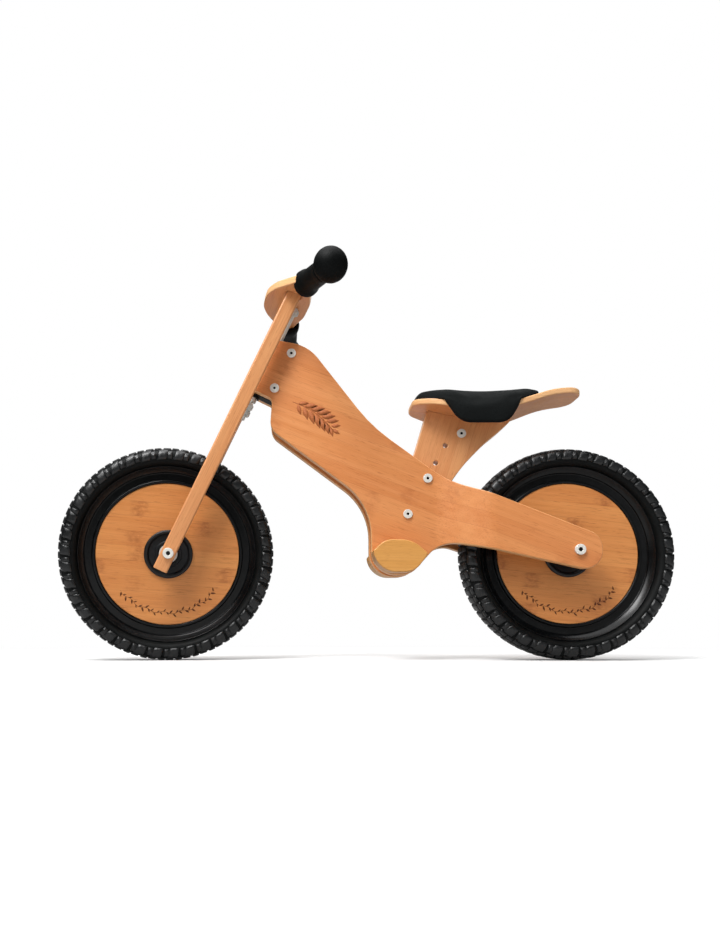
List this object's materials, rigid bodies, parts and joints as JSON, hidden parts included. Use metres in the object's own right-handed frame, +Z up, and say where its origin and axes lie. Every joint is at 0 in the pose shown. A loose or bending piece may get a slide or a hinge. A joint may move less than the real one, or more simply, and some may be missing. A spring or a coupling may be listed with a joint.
{
  "type": "balance bike",
  "caption": "Child's balance bike with a bamboo plywood frame, steerable fork, plate handlebar, covered wheels on foam tyres and a cushioned seat.",
  "frame": {"origin": "on the ground, midway between the wheel centres, on the middle plane of the frame", "axes": "+Z up, -X forwards (front wheel towards -X), -Y to the rider's left"},
  "size_m": [0.826, 0.357, 0.5172],
  "materials": {
    "bamboo_plate": "clear satin lacquer over bamboo plywood",
    "bamboo_block": "clear satin lacquer over solid bamboo",
    "black_plastic": "moulded, glossy",
    "black_nylon": "moulded, matte",
    "foam_tyre": "moulded foam tread, dull",
    "grip_rubber": "soft, matte",
    "cushion_fabric": "fine knit over foam",
    "nickel": "bright nickel plate",
    "zinc": "zinc plated steel"
  },
  "bodies": {
    "frame": {"frame_plate_left": "bamboo_plate", "frame_plate_right": "bamboo_plate", "head_block": "black_nylon", "head_bushings": "black_nylon", "head_bolts": "nickel", "head_nuts": "nickel", "frame_spacer": "bamboo_block", "footrest_left": "bamboo_block", "footrest_right": "bamboo_block", "footrest_screws": "zinc", "seat_post": "bamboo_plate", "seat_bolts": "nickel", "seat_nuts": "nickel", "seat_tie_bolt": "nickel", "seat_tie_nut": "nickel", "seat_screws": "zinc", "seat_board": "bamboo_plate", "seat_cushion": "cushion_fabric", "rear_axle_bolt": "nickel", "rear_axle_nut": "nickel", "rear_washers": "zinc", "rear_spacers": "black_nylon"},
    "fork": {"fork_leg_left": "bamboo_plate", "fork_leg_right": "bamboo_plate", "handlebar_board": "bamboo_plate", "bar_peg_left": "bamboo_block", "bar_peg_right": "bamboo_block", "grip_left": "grip_rubber", "grip_right": "grip_rubber", "steering_rod": "zinc", "rod_nuts": "zinc", "rod_cap": "nickel", "lower_bracket": "zinc", "bracket_screws": "zinc", "leg_screws": "zinc", "front_axle_bolt": "nickel", "front_axle_nut": "nickel", "front_washers": "zinc", "front_spacers": "black_nylon"},
    "front_wheel": {"front_tyre": "foam_tyre", "front_rim": "black_plastic", "front_cover_left": "bamboo_plate", "front_cover_right": "bamboo_plate", "front_hub_rings": "black_plastic", "front_bushings": "zinc"},
    "rear_wheel": {"rear_tyre": "foam_tyre", "rear_rim": "black_plastic", "rear_cover_left": "bamboo_plate", "rear_cover_right": "bamboo_plate", "rear_hub_rings": "black_plastic", "rear_bushings": "zinc"}
  },
  "joints": [
    {"name": "steering", "type": "hinge", "parent": "frame", "child": "fork", "pos_m": [-0.26186, 0, 0.13933], "axis": [0.4258, 0, 0.9048], "range_deg": [-49, 27]},
    {"name": "front_spin", "type": "hinge", "parent": "fork", "child": "front_wheel", "pos_m": [-0.26985, -0.00172, 0.14309], "axis": [-0.1726, 0.9816, 0.0812], "continuous": true},
    {"name": "rear_spin", "type": "hinge", "parent": "frame", "child": "rear_wheel", "pos_m": [0.27, 0, 0.1435], "axis": [0, 1, 0], "continuous": true}
  ]
}
